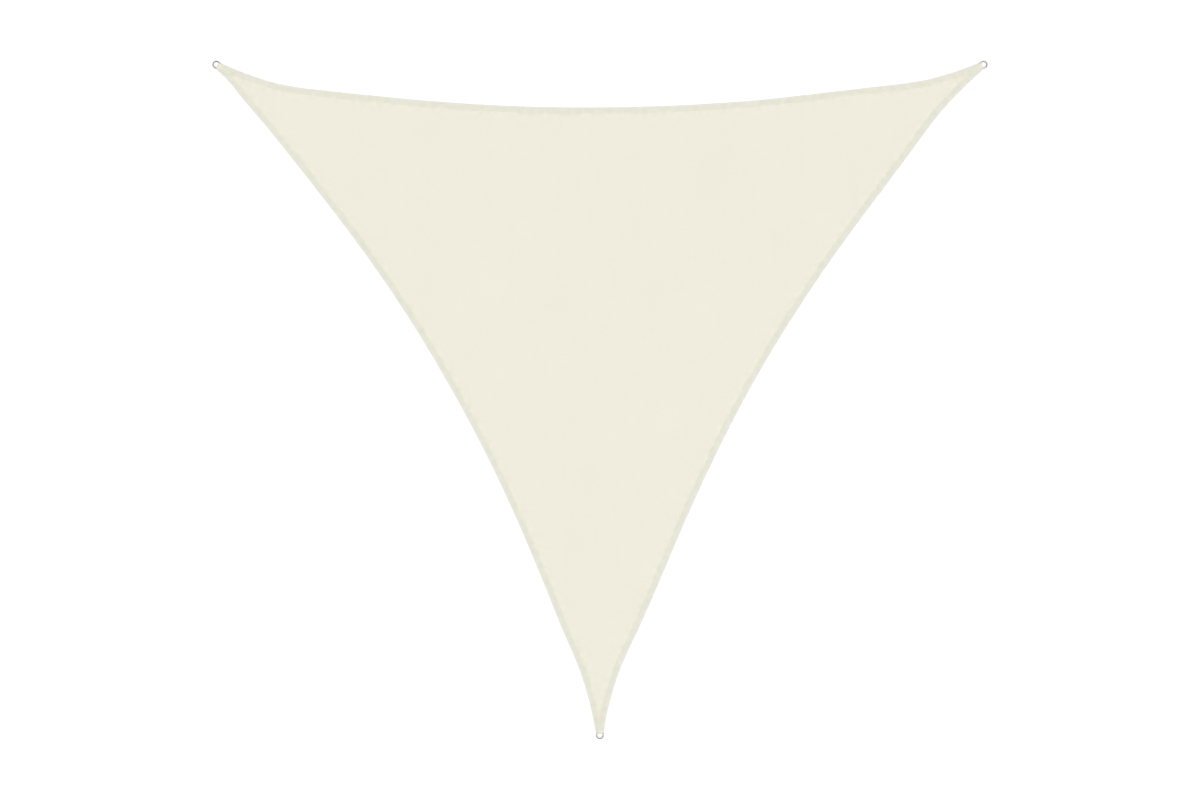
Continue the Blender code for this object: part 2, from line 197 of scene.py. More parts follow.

# ---- tones and roughness, from a pattern's lowest places to its highest ones; the cloth's, thread's and webbing's darker tones in low places are painted shade ----
CLOTH_PAINTED_SHADE_TONES = (0.94, 1.06)
CLOTH_ROUGHNESS = (0.78, 0.66)
THREAD_PAINTED_SHADE_TONES = (0.92, 1.04)
THREAD_ROUGHNESS = (0.45, 0.60)
WEBBING_PAINTED_SHADE_TONES = (0.94, 1.04)
WRAP_PAINTED_HIGHLIGHT_TONE = 1.055              # painted highlight where the webbing wraps round the ring
WEBBING_ROUGHNESS = (0.72, 0.57)
STEEL_TONES = (0.92, 1.08)
STEEL_ROUGHNESS = (0.16, 0.38)
FLOOR_TONES = (0.995, 1.005)
CLOUD_TONE = 0.017             # this and the rest as much below zero as above it
NEEDLE_LINE_TONE = 0.006
MOTTLE_TONE = 0.085
WEBBING_PATCH_TONE = 0.02

# ---- fine relief of the thread, the webbing and the wire ----
TWIST_PITCH = 0.5 * MM
TWIST_RELIEF = 0.05 * MM
YARN_PITCH = 0.8 * MM          # along the webbing
YARN_BOW = 0.4 * MM            # how far a yarn runs ahead on a rib
YARN_RELIEF = 0.08 * MM
DRAWN_LINE_RELIEF = 0.02 * MM

# ---- the picture ----
PICTURE_WIDTH = 5.5912         # metres of floor across the 1200 pixels of the picture
LENS = 50.0                    # millimetres
SENSOR = 36.0
FLOOR_SIZE = 400.0
FLOOR_HEIGHT = -0.2 * MM
ROOM_LIGHT = 1.16
WALL_LIGHT = 0.16
BACKDROP_ENDS = (0.08, 0.20)   # sines of the elevation
CEILING_STARTS = (0.50, 0.64)
LAMP_STRENGTH = 0.95
LAMP_ANGLE = math.radians(60)
LAMP_FROM_FRONT = math.radians(8)
LAMP_FROM_RIGHT = math.radians(20)


# ---- the corners and the outline ----

class Corner:
    """A corner of the sail: its ring bow's centre, and the direction in which the ring points.

    The ring is turned by a few degrees off the direction that halves the corner's angle.
    """

    def __init__(self, name, centre, middle_deg, turn_deg):
        self.name = name
        self.centre = Vector(centre)
        self.heading = math.radians(middle_deg + turn_deg)
        self.outward = Vector((math.cos(self.heading), math.sin(self.heading)))
        self.side = Vector((-self.outward.y, self.outward.x))
        self.matrix = Matrix.Translation((*self.centre, 0)) @ Matrix.Rotation(self.heading, 4, "Z")

    def inward_distance(self, point):
        """How far a point lies in from the bow's centre, along the corner's axis."""
        return -(Vector(point[:2]) - self.centre).dot(self.outward)

    def across(self, point):
        """How far a point lies to the side of the corner's axis."""
        return (Vector(point[:2]) - self.centre).dot(self.side)


SIDE_LEAN_DEG = math.degrees(math.acos(REAR_LENGTH / 2 / SIDE_LENGTH))
CORNERS = (
    Corner("rear_left", (-REAR_LENGTH / 2, SAIL_DEPTH / 2), 180 - SIDE_LEAN_DEG / 2, -4.0),
    Corner("front", (0, -SAIL_DEPTH / 2), 270, 1.5),
    Corner("rear_right", (REAR_LENGTH / 2, SAIL_DEPTH / 2), SIDE_LEAN_DEG / 2, 2.0),
)
EDGE_NAMES = ("left", "right", "rear")   # each edge starts at the corner that has its place in CORNERS


def ease(share):
    """A share between 0 and 1 that starts and ends gently."""
    share = min(max(share, 0.0), 1.0)
    return share * share * (3 - 2 * share)


def folded_edge(node):
    """The points of the cloth's outline, anticlockwise: where its faces go over from up to down."""
    bm = bmesh.new()
    bm.from_mesh(node.data)
    bmesh.ops.remove_doubles(bm, verts=bm.verts, dist=WELD_DISTANCE)
    bm.normal_update()
    neighbours = {}
    for edge in bm.edges:
        up = [face.normal.z > 0 for face in edge.link_faces]
        if up[0] != up[1]:
            for vertex in edge.verts:
                neighbours.setdefault(vertex, []).append(edge.other_vert(vertex))
    first = min(neighbours, key=lambda vertex: vertex.co.xy.length_squared)
    loop = [first]
    ahead = neighbours[first][0]
    while ahead != first:
        one, other = neighbours[ahead]
        behind = loop[-1]
        loop.append(ahead)
        ahead = other if one == behind else one
    points = [vertex.co.xy.copy() for vertex in loop]
    bm.free()
    area = sum(a.cross(b) for a, b in zip(points, points[1:] + points[:1]))
    return points if area > 0 else points[::-1]


def tangent(before, here, there):
    """The curve's direction at a point, weighted towards the nearer neighbour."""
    back = here - before
    forth = there - here
    total = back.length + forth.length
    return back.normalized() * (forth.length / total) + forth.normalized() * (back.length / total)


def smooth_loop(knots):
    """Closely spaced points on the smooth closed curve through the knots."""
    count = len(knots)
    points = []
    for i, here in enumerate(knots):
        before, there, after = knots[i - 1], knots[(i + 1) % count], knots[(i + 2) % count]
        span = (there - here).length
        leave = tangent(before, here, there) * span
        arrive = tangent(here, there, after) * span
        steps = max(1, round(span / SAMPLE_STEP))
        for step in range(steps):
            t = step / steps
            points.append(
                here * (2 * t**3 - 3 * t**2 + 1)
                + leave * (t**3 - 2 * t**2 + t)
                + there * (3 * t**2 - 2 * t**3)
                + arrive * (t**3 - t**2)
            )
    return points


class Outline:
    """The folded edge as samples a millimetre apart, from the middle of the rear left tip onwards."""

    def __init__(self, node):
        points = smooth_loop(folded_edge(node))
        starts = [self.nearest_to_tip(points, corner) for corner in CORNERS]
        first = starts[0]
        self.points = points[first:] + points[:first]
        self.tips = [(start - first) % len(points) for start in starts] + [len(points)]
        self.inward = []
        self.travelled = [0.0]
        for i, point in enumerate(self.points):
            ahead = self.points[(i + 1) % len(points)] - point
            along = self.points[(i + 1) % len(points)] - self.points[i - 1]
            self.inward.append(Vector((-along.y, along.x)).normalized())
            self.travelled.append(self.travelled[-1] + ahead.length)
        self.length = self.travelled.pop()
        self.tree = kdtree.KDTree(len(points))
        for i, point in enumerate(self.points):
            self.tree.insert((*point, 0), i)
        self.tree.balance()

    @staticmethod
    def nearest_to_tip(points, corner):
        return min(range(len(points)), key=lambda i: (points[i] - corner.centre).length_squared)

    def measure(self, point):
        """How deep a point lies inside the folded edge, and how far along that edge it is."""
        _, index, distance = self.tree.find((point[0], point[1], 0))
        depth = (Vector(point[:2]) - self.points[index]).dot(self.inward[index])
        beyond = max(distance - abs(depth), 0.0)
        return (depth if beyond < SAMPLE_STEP else distance), self.travelled[index]

    def at_depth(self, index, depth):
        return self.points[index] + self.inward[index] * depth

    def is_clear(self, index, depth):
        """Whether no other edge comes nearer to the point at that depth than its own edge does."""
        _, _, distance = self.tree.find((*self.at_depth(index, depth), 0))
        return distance > depth - ROW_SLACK

    def meeting(self, last, first, depth):
        """Where the line at that depth along one edge meets the one along the next edge."""
        start = self.at_depth(last, depth)
        end = self.at_depth(first, depth)
        along = Vector((self.inward[last].y, -self.inward[last].x))
        reach = (end - start).dot(self.inward[first]) / along.dot(self.inward[first])
        return start + along * reach

    def area(self):
        following = self.points[1:] + self.points[:1]
        return sum(a.cross(b) for a, b in zip(self.points, following)) / 2

    def columns(self):
        """The samples that get a point in each row: all of them where the outline turns at a tip."""
        chosen = []
        since = 0
        for i in range(len(self.points)):
            turn = self.inward[i - 1].angle(self.inward[i])
            since += 1
            if since >= COLUMN_STEP or turn > COLUMN_TURN:
                chosen.append(i)
                since = 0
        return chosen


# ---- the cloth ----

def tip_lift(point):
    """How high the strap under a tip holds the cloth off the floor."""
    for corner in CORNERS:
        distance = corner.inward_distance(point)
        if distance < LIFT_GONE_AT and abs(corner.across(point)) < LIFT_GONE_AT:
            return TIP_LIFT * ease((LIFT_GONE_AT - distance) / (LIFT_GONE_AT - LIFT_FULL_TO))
    return 0.0


def unevenness(point, depth, travelled):
    """How far the cloth stands off the floor elsewhere: faint swells, and puckers beside the seam.

    Both fade out towards the tips.
    """
    near_tip = min((Vector(point[:2]) - corner.centre).length for corner in CORNERS)
    swell = noise.noise(Vector((point[0] / SWELL_LENGTH, point[1] / SWELL_LENGTH, SWELL_SEED)))
    swell *= ease((depth - SWELL_FROM) / (SWELL_FULL_AT - SWELL_FROM))
    pucker = noise.noise(Vector((travelled / PUCKER_LENGTH, depth / PUCKER_DEPTH, PUCKER_SEED)))
    pucker *= math.exp(-(((depth - PUCKER_MIDDLE) / PUCKER_SPREAD) ** 2))
    swells = SWELL_HEIGHT * ease(swell / NOISE_REACH)
    puckers = PUCKER_HEIGHT * ease(pucker / NOISE_REACH)
    return (swells + puckers) * ease(near_tip / LIFT_GONE_AT - 1)


def section_height(section, depth):
    """The height of one of the hem's faces at a depth, or of the panel's past it."""
    depths = [row[0] * MM for row in section]
    heights = [row[1] * MM for row in section]
    return float(np.interp(depth, depths, heights))


def is_clear_of(meetings, point):
    """Whether a point is far enough from all of the points where hems meet, so no sliver comes about."""
    return all((point - meeting).length > CLEAR_OF_MEETING for meeting in meetings)


def depth_line(outline, columns, depth):
    """The points of the closed line at one depth, with one wherever the hems of two edges meet."""
    chosen = set(columns)
    clear = [i for i in range(len(outline.points)) if outline.is_clear(i, depth)]
    line = []
    meetings = []
    for here, after in zip(clear, clear[1:] + clear[:1]):
        if here in chosen:
            line.append(outline.at_depth(here, depth))
        is_gap = (after - here) % len(outline.points) > 1
        if is_gap and outline.inward[here].angle(outline.inward[after]) > MEETING_TURN:
            meetings.append(outline.meeting(here, after, depth))
            line.append(meetings[-1])
    return [point for point in line if point in meetings or is_clear_of(meetings, point)]


def panel_points(outline, low, high):
    """A staggered grid of points all over the panel."""
    row_pitch = PANEL_PITCH * math.sqrt(3) / 2
    points = []
    for row in range(int((high.y - low.y) / row_pitch)):
        for column in range(int((high.x - low.x) / PANEL_PITCH)):
            x = low.x + (column + 0.5 * (row % 2)) * PANEL_PITCH
            point = Vector((x, low.y + row * row_pitch))
            _, index, distance = outline.tree.find((*point, 0))
            is_inside = (point - outline.points[index]).dot(outline.inward[index]) > 0
            if is_inside and distance > PANEL_GRID_FROM:
                points.append(point)
    return points


def triangulated(lines, grid):
    """Triangles inside the first of some closed lines, which keep to every line and use every point.

    The points come back in the order in which they went in, with any crossing of two lines after them.
    """
    points = [point for line in lines for point in line] + grid
    edges = []
    for line in lines:
        first = len(edges)
        edges += [(first + i, first + (i + 1) % len(line)) for i in range(len(line))]
    inside = [list(range(len(lines[0])))]
    points, _, triangles, *_ = delaunay_2d_cdt(points, edges, inside, ONLY_INSIDE, POINT_TOLERANCE)
    found = []
    for a, b, c in triangles:
        turn = (points[b] - points[a]).cross(points[c] - points[a])
        found.append((a, b, c) if turn > 0 else (a, c, b))
    return points, found


def cloth_piece(outline, low, high):
    """The cloth as one closed sheet: the panel, and the hem that is turned up onto it."""
    columns = outline.columns()
    rim = [outline.points[i] for i in columns]
    grid = panel_points(outline, low, high)
    beside = [depth_line(outline, columns[::every], depth * MM) for depth, every in PANEL_ROWS]

    places = []
    depths = []
    faces = []
    for section, is_upper in ((UPPER_SECTION, True), (LOWER_SECTION, False)):
        hem = [depth_line(outline, columns, depth * MM) for depth, _ in section[1:]]
        points, triangles = triangulated([rim] + hem + beside, grid)
        shared = 0 if is_upper else len(rim)    # the lower face uses the upper one's rim
        moved_by = len(places) - shared
        for point in points[shared:]:
            depth, travelled = outline.measure(point)
            height = section_height(section, depth) + tip_lift(point)
            places.append((*point, height + unevenness(point, depth, travelled)))
            depths.append(depth)
        for triangle in triangles:
            corners = [i if i < shared else i + moved_by for i in triangle]
            faces.append(corners if is_upper else corners[::-1])
    mesh = bpy.data.meshes.new("cloth")
    mesh.from_pydata(places, [], faces)
    mesh.attributes.new("from_fold", "FLOAT", "POINT").data.foreach_set("value", depths)
    return dress(mesh, "cloth", ("sail_cloth",), knitted_cloth())


# ---- pieces and sewing ----

def dress(mesh, name, solids, material, matrix=None):
    """Makes a mesh into a piece, which stands for the named solids if there are any."""
    mesh.update()
    mesh.shade_smooth()
    mesh.set_sharp_from_angle(angle=SHARP_ANGLE)
    if not mesh.materials:
        mesh.materials.append(material)
    piece = bpy.data.objects.new(name, mesh)
    bpy.context.scene.collection.objects.link(piece)
    if matrix is not None:
        piece.matrix_world = matrix
    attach(piece, "root")
    if solids:
        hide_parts(*solids)
    return piece


def stitch_shape(length):
    """One stitch along X: a short arched thread whose ends go down into the cloth."""
    points = []
    for place, width, height in STITCH_SECTIONS:
        for side in range(STITCH_SIDES):
            angle = 2 * math.pi * side / STITCH_SIDES
            y = THREAD_RADIUS * width * math.cos(angle)
            z = THREAD_RADIUS * (height + width * math.sin(angle))
            points.append((place * length / 2, y, z))
    faces = []
    for section in range(len(STITCH_SECTIONS) - 1):
        for side in range(STITCH_SIDES):
            here = section * STITCH_SIDES
            there = here + STITCH_SIDES
            after = (side + 1) % STITCH_SIDES
            faces.append((here + after, there + after, there + side, here + side))
    last = (len(STITCH_SECTIONS) - 1) * STITCH_SIDES
    faces.append(tuple(range(STITCH_SIDES - 1, -1, -1)))
    faces.append(tuple(range(last, last + STITCH_SIDES)))
    return np.array(points), faces


def sewn_mesh(name, stitches, length):
    """One mesh of many stitches, each given by its middle, its direction and the way that it faces."""
    shape, shape_faces = stitch_shape(length)
    places = []
    faces = []
    for middle, along, facing in stitches:
        up = np.array((0.0, 0.0, facing))
        ahead = np.array((along[0], along[1], 0.0))
        side = np.cross(up, ahead)
        first = len(places)
        turned = shape[:, :1] * ahead + shape[:, 1:2] * side + shape[:, 2:] * up + np.array(middle)
        places.extend(turned.tolist())
        faces.extend([first + i for i in face] for face in shape_faces)
    mesh = bpy.data.meshes.new(name)
    mesh.from_pydata(places, [], faces)
    return mesh


def under_strap(point):
    """Whether a point of the hem is hidden by a strap, or lies on a tip's blunt end."""
    for corner in CORNERS:
        inward = corner.inward_distance(point)
        if inward < STRAP_TAIL_END + STITCH_PITCH / 2:
            beside = abs(corner.across(point)) > STRAP_WIDTH / 2 + THREAD_RADIUS
            return not beside or inward < TIP_SETBACK + HEM_ROW_DEPTHS[0]
    return False


def hem_stitches(outline, start, end):
    """The two rows of stitches along one edge, as they show on the cloth's upper and lower face."""
    found = []
    for depth in HEM_ROW_DEPTHS:
        wanted = outline.travelled[start]
        for i in range(start, end):
            if outline.travelled[i] < wanted:
                continue
            wanted += STITCH_PITCH
            point = outline.at_depth(i, depth)
            if not outline.is_clear(i, depth) or under_strap(point):
                continue
            along = Vector((outline.inward[i].y, -outline.inward[i].x))
            base = tip_lift(point) + unevenness(point, depth, outline.travelled[i])
            for section, facing in ((UPPER_SECTION, UP), (LOWER_SECTION, DOWN)):
                found.append(((*point, base + section_height(section, depth)), along, facing))
    return found


def straight_stitches(start, end):
    """Stitches from one point of a strap to another, on its upper tail and under its lower one."""
    line = end - start
    count = max(1, round(line.length / BOX_STITCH_PITCH))
    found = []
    for i in range(count):
        middle = start.lerp(end, (i + 0.5) / count)
        for height, facing in ((UPPER_TAIL_TOP, UP), (BOX_STITCH_SUNK, DOWN)):
            found.append(((*middle, height), line.normalized(), facing))
    return found


def box_stitches():
    """A box with a cross in it, which holds a strap's tails to the tip. +X is outward there."""
    corners = [
        Vector((-inward, across))
        for inward, across in (
            (BOX_FROM, -BOX_HALF_WIDTH), (BOX_FROM, BOX_HALF_WIDTH),
            (BOX_TO, BOX_HALF_WIDTH), (BOX_TO, -BOX_HALF_WIDTH),
        )
    ]
    found = []
    for start, end in ((0, 1), (1, 2), (2, 3), (3, 0), (0, 2), (1, 3)):
        found += straight_stitches(corners[start], corners[end])
    return found


# ---- the straps ----

def strap_line():
    """The strap's centre line: how far in each point is from the bow's centre, and its height."""
    line = [Vector((STRAP_TAIL_END, STRAP_THICKNESS / 2))]
    for step in range(WRAP_STEPS + 1):
        angle = math.radians(-90) - (math.pi + STRAP_FALL_ANGLE) * step / WRAP_STEPS
        inward = RING_BAR_SETBACK + WRAP_RADIUS * math.cos(angle)
        height = BAR_HEIGHT + WRAP_RADIUS * math.sin(angle)
        line.append(Vector((inward, height)))
    leave = line[-1]
    slope = math.tan(STRAP_FALL_ANGLE)
    landing = leave.x + (leave.y - UPPER_TAIL_HEIGHT) / slope
    # from here on down the slope, and by way of a parabola's middle to the flat tail
    line.append(Vector((landing - STRAP_EASING, UPPER_TAIL_HEIGHT + STRAP_EASING * slope)))
    line.append(Vector((landing, UPPER_TAIL_HEIGHT + STRAP_EASING * slope / 4)))
    line.append(Vector((landing + STRAP_EASING, UPPER_TAIL_HEIGHT)))
    line.append(Vector((STRAP_TAIL_END, UPPER_TAIL_HEIGHT)))
    return line


def evenly_along(line, step):
    """Points along a line at even steps, each with the line's direction there and the way travelled."""
    travelled = np.cumsum([0.0] + [(b - a).length for a, b in zip(line, line[1:])])
    wanted = np.linspace(0, travelled[-1], round(travelled[-1] / step) + 1)
    xs = np.interp(wanted, travelled, [p.x for p in line])
    ys = np.interp(wanted, travelled, [p.y for p in line])
    points = [Vector(pair) for pair in zip(xs, ys)]
    found = []
    for i, point in enumerate(points):
        before = points[max(i - 1, 0)]
        after = points[min(i + 1, len(points) - 1)]
        found.append((point, (after - before).normalized(), wanted[i]))
    return found


def webbing_section(travelled):
    """Half thickness of the webbing at each step across it, with its ribs and its crossing picks."""
    section = []
    for step in range(ACROSS_STEPS + 1):
        share = 2 * step / ACROSS_STEPS - 1
        rib = (share + 1) / 2 * RIB_COUNT
        body = STRAP_THICKNESS / 2 * math.sqrt(max(1 - abs(share) ** EDGE_SQUARENESS, 0.0))
        groove = RIB_DEPTH * (0.5 + 0.5 * math.cos(2 * math.pi * rib))
        over_and_under = 2 * math.pi * travelled / PICK_PITCH + math.pi * int(rib)
        pick = PICK_DEPTH * (0.5 + 0.5 * math.cos(over_and_under))
        section.append((share * STRAP_WIDTH / 2, max(body - groove - pick, 0.0)))
    return section


def strap_mesh():
    """The webbing strap round the ring's bar. +X is outward, and the bow's centre is the origin."""
    places = []
    faces = []
    around = 2 * (ACROSS_STEPS + 1)
    stations = evenly_along(strap_line(), STRAP_STEP)
    for point, along, travelled in stations:
        normal = Vector((-along.y, along.x))
        section = webbing_section(travelled)
        for across, half in section:
            places.append((-(point.x + normal.x * half), across, point.y + normal.y * half))
        for across, half in section[::-1]:
            places.append((-(point.x - normal.x * half), across, point.y - normal.y * half))
    for station in range(len(stations) - 1):
        here = station * around
        there = here + around
        for i in range(around):
            j = (i + 1) % around
            faces.append((here + i, here + j, there + j, there + i))
    for first in (0, (len(stations) - 1) * around):
        for i in range(ACROSS_STEPS):
            j = around - 1 - i
            faces.append((first + i, first + i + 1, first + j - 1, first + j))
    mesh = bpy.data.meshes.new("webbing")
    mesh.from_pydata(places, [], faces)
    bm = bmesh.new()
    bm.from_mesh(mesh)
    bmesh.ops.remove_doubles(bm, verts=bm.verts, dist=WELD_DISTANCE)
    bmesh.ops.recalc_face_normals(bm, faces=bm.faces[:])
    bm.to_mesh(mesh)
    bm.free()
    return mesh


# ---- the rings ----

def ring_path():
    """The ring's centre line in its own plane: +X is outward, and the bow's centre is at the origin."""
    points = []
    for step in range(BOW_STEPS + 1):
        angle = math.radians(-90 + 180 * step / BOW_STEPS)
        points.append(Vector((BOW_RADIUS * math.cos(angle), BOW_RADIUS * math.sin(angle))))
    bend_x = RING_BEND_RADIUS - RING_BAR_SETBACK
    bend_y = BOW_RADIUS - RING_BEND_RADIUS
    for sign, first_angle in ((1, 90), (-1, 180)):
        for step in range(BEND_STEPS + 1):
            angle = math.radians(first_angle + 90 * step / BEND_STEPS)
            x = bend_x + RING_BEND_RADIUS * math.cos(angle)
            y = sign * bend_y + RING_BEND_RADIUS * math.sin(angle)
            points.append(Vector((x, y)))
    return points


def ring_mesh():
    """A D-ring of round wire, tilted about its bar so that its bow comes down to the floor."""
    path = ring_path()
    count = len(path)
    tilt = Matrix.Translation((-RING_BAR_SETBACK, 0, BAR_HEIGHT)) @ Matrix.Rotation(RING_TILT, 4, "Y")
    places = []
    faces = []
    for i, point in enumerate(path):
        back = (point - path[i - 1]).normalized()
        forth = (path[(i + 1) % count] - point).normalized()
        along = (back + forth).normalized()
        outward = Vector((along.y, -along.x))
        for k in range(WIRE_SIDES):
            angle = 2 * math.pi * k / WIRE_SIDES
            x, y = point + outward * WIRE_RADIUS * math.cos(angle)
            local = Vector((x + RING_BAR_SETBACK, y, WIRE_RADIUS * math.sin(angle)))
            places.append(tuple(tilt @ local))
    for i in range(count):
        here = i * WIRE_SIDES
        there = (i + 1) % count * WIRE_SIDES
        for k in range(WIRE_SIDES):
            m = (k + 1) % WIRE_SIDES
            faces.append((here + k, there + k, there + m, here + m))
    mesh = bpy.data.meshes.new("d_ring")
    mesh.from_pydata(places, [], faces)
    return mesh


# ---- materials ----

class Nodes:
    """Short ways to lay out the nodes of a material or of the world."""

    def __init__(self, owner):
        owner.use_nodes = True
        self.owner = owner
        self.tree = owner.node_tree
        # of the two nodes of a new owner, the one that feeds the output
        self.shader = next(node for node in self.tree.nodes if node.outputs)

    def add(self, kind, settings=None, **inputs):
        """A new node. An underscore in an input's name stands for a space."""
        node = self.tree.nodes.new("ShaderNode" + kind)
        for name, value in (settings or {}).items():
            setattr(node, name, value)
        for name, value in inputs.items():
            self.set(node, name.replace("_", " "), value)
        return node

    def set(self, node, place, value):
        """Links another node's output to an input, or gives the input a value."""
        socket = node.inputs[place]
        if isinstance(value, bpy.types.NodeSocket):
            self.tree.links.new(value, socket)
        else:
            socket.default_value = value

    def maths(self, operation, *values):
        node = self.add("Math", {"operation": operation})
        for place, value in enumerate(values):
            self.set(node, place, value)
        return node.outputs[0]

    def ranged(self, value, at_0, at_1):
        """Spreads a value between 0 and 1 over another range."""
        return self.maths("MULTIPLY_ADD", value, at_1 - at_0, at_0)

    def wave(self, coordinate, pitch):
        """A wave between 0 and 1 that repeats every pitch."""
        angle = self.maths("MULTIPLY", coordinate, 2 * math.pi / pitch)
        return self.maths("MULTIPLY_ADD", self.maths("COSINE", angle), 0.5, 0.5)

    def between(self, value, zone, before, past):
        """One number before a zone of the value and another past it, with a smooth change inside it."""
        node = self.add("MapRange", {"interpolation_type": "SMOOTHSTEP"}, Value=value)
        for name, number in zip(("From Min", "From Max", "To Min", "To Max"), (*zone, before, past)):
            node.inputs[name].default_value = number
        return node.outputs["Result"]

    def places(self):
        return self.add("TexCoord").outputs["Object"]

    def axes(self):
        split = self.add("SeparateXYZ", Vector=self.places())
        return split.outputs["X"], split.outputs["Y"], split.outputs["Z"]

    def noise(self, lengths, detail=2.0):
        """Noise between 0 and 1, whose patches have the given lengths along X, Y and Z."""
        scaled = self.add("Mapping", {"vector_type": "POINT"}, Vector=self.places())
        scaled.inputs["Scale"].default_value = [1 / length for length in lengths]
        node = self.add("TexNoise", Vector=scaled.outputs["Vector"], Scale=1.0, Detail=detail)
        return node.outputs["Fac"]

    def patches(self, lengths, reach):
        """Noise that reaches as far below zero as above it."""
        return self.ranged(self.noise(lengths), -reach, reach)

    def mix(self, share, one, other):
        """A colour between two, nearer to the other one as the share grows."""
        node = self.add("Mix", {"data_type": "RGBA"})
        for place, value in ((0, share), (6, one), (7, other)):
            self.set(node, place, value)
        return node.outputs[2]

    def scaled(self, colour, tone):
        """A colour made brighter or darker by a tone near 1."""
        node = self.add("VectorMath", {"operation": "SCALE"}, Scale=tone)
        self.set(node, 0, colour)
        return node.outputs[0]

    def bump(self, height, depth, strength=1.0):
        node = self.add("Bump", Height=height, Distance=depth, Strength=strength)
        self.tree.links.new(node.outputs["Normal"], self.shader.inputs["Normal"])

    def finish(self, **values):
        for name, value in values.items():
            self.set(self.shader, name.replace("_", " "), value)
        return self.owner


def new_material(name):
    return Nodes(bpy.data.materials.new(name))


def knit_relief(nodes):
    """The height of the knit: chains of looped thread along Y, and flat tape that zigzags between."""
    x, y, _ = nodes.axes()
    wander = nodes.noise(WANDER_LENGTHS)
    x = nodes.maths("MULTIPLY_ADD", wander, CHAIN_WANDER, x)
    off_chain = nodes.maths("PINGPONG", x, WALE_PITCH / 2)
    chain = nodes.between(off_chain, (CHAIN_FULL_TO, CHAIN_GONE_AT), 1.0, 0.0)
    loops = nodes.wave(nodes.maths("MULTIPLY_ADD", off_chain, CHAIN_LEAN, y), COURSE_PITCH / 2)
    chain = nodes.maths("MULTIPLY", chain, nodes.ranged(loops, 0.5, 1.0))
    zigzag = nodes.wave(x, 2 * WALE_PITCH)
    tape = nodes.wave(nodes.maths("MULTIPLY_ADD", zigzag, COURSE_PITCH, y), COURSE_PITCH)
    return nodes.maths("MAXIMUM", chain, nodes.maths("MULTIPLY", tape, TAPE_SHARE))


def cloth_colour(nodes, depth):
    """The panel's colour, and the hem's colours from its fold to its seam: more layers look darker."""
    fold = nodes.between(depth, FOLD_ZONE, 1.0, 0.0)
    webbing = nodes.between(depth, WEBBING_ZONE, 1.0, 0.0)
    hem = nodes.between(depth, SEAM_ZONE, 1.0, 0.0)
    tinge = nodes.noise(TINGE_LENGTHS)
    colour = nodes.mix(fold, nodes.mix(tinge, WARM_HEM_COLOUR, COOL_HEM_COLOUR), FOLD_COLOUR)
    colour = nodes.mix(webbing, SEAM_COLOUR, colour)
    return nodes.mix(hem, PANEL_COLOUR, colour)


def cloth_tone(nodes, depth, relief):
    """How bright the cloth is from place to place. It is mottled most in the hem, and darker in the
    knit's low places, which is painted shade.
    """
    mottle = nodes.patches(MOTTLE_LENGTHS, MOTTLE_TONE)
    mottle = nodes.maths("MULTIPLY", mottle, nodes.between(depth, MOTTLE_ZONE, 1.0, MOTTLE_ON_PANEL))
    needle_lines = nodes.patches(NEEDLE_LINE_LENGTHS, NEEDLE_LINE_TONE)
    clouds = nodes.patches(CLOUD_LENGTHS, CLOUD_TONE)
    # painted shade: the knit is darker in its low places, its hollows and gaps
    tone = nodes.ranged(relief, *CLOTH_PAINTED_SHADE_TONES)
    for change in (clouds, needle_lines, mottle):
        tone = nodes.maths("ADD", tone, change)
    return tone


def knitted_cloth():
    """Matt knitted shade cloth. Its mesh has the depth of each point in the attribute from_fold."""
    nodes = new_material("knitted_shade_cloth")
    depth = nodes.add("Attribute", {"attribute_name": "from_fold"}).outputs["Fac"]
    relief = knit_relief(nodes)
    nodes.bump(relief, KNIT_RELIEF)
    return nodes.finish(
        Base_Color=nodes.scaled(cloth_colour(nodes, depth), cloth_tone(nodes, depth, relief)),
        Roughness=nodes.ranged(relief, *CLOTH_ROUGHNESS),
        Specular_IOR_Level=0.3,
        Sheen_Weight=0.08,
        Sheen_Roughness=0.5,
    )


def sewing_thread():
    """Twisted polyester thread, at a slant to X, Y and Z alike."""
    nodes = new_material("sewing_thread")
    x, y, z = nodes.axes()
    twist = nodes.wave(nodes.maths("ADD", nodes.maths("ADD", x, y), z), TWIST_PITCH)
    nodes.bump(twist, TWIST_RELIEF)
    return nodes.finish(
        # painted shade: darker in the grooves of the twist
        Base_Color=nodes.scaled(THREAD_COLOUR, nodes.ranged(twist, *THREAD_PAINTED_SHADE_TONES)),
        Roughness=nodes.ranged(twist, *THREAD_ROUGHNESS),
        Specular_IOR_Level=0.4,
    )


def woven_webbing():
    """Woven webbing with lengthwise ribs. Its object's X runs along the strap."""
    nodes = new_material("woven_webbing")
    x, y, _ = nodes.axes()
    ribs = nodes.wave(y, STRAP_WIDTH / RIB_COUNT)
    yarns = nodes.wave(nodes.maths("MULTIPLY_ADD", ribs, YARN_BOW, x), YARN_PITCH)
    relief = nodes.maths("MULTIPLY", yarns, nodes.ranged(ribs, 0.5, 1.0))
    patches = nodes.patches(WEBBING_PATCH_LENGTHS, WEBBING_PATCH_TONE)
    # painted shade: darker in the grooves between the ribs and the yarns
    tone = nodes.maths("ADD", nodes.ranged(relief, *WEBBING_PAINTED_SHADE_TONES), patches)
    # painted highlight: paler where the strap wraps round the ring
    tone = nodes.maths("MULTIPLY", tone, nodes.between(x, WRAP_HIGHLIGHT_ZONE, 1.0, WRAP_PAINTED_HIGHLIGHT_TONE))
    nodes.bump(relief, YARN_RELIEF)
    return nodes.finish(
        Base_Color=nodes.scaled(WEBBING_COLOUR, tone),
        Roughness=nodes.ranged(relief, *WEBBING_ROUGHNESS),
        Specular_IOR_Level=0.35,
        Sheen_Weight=0.05,
    )


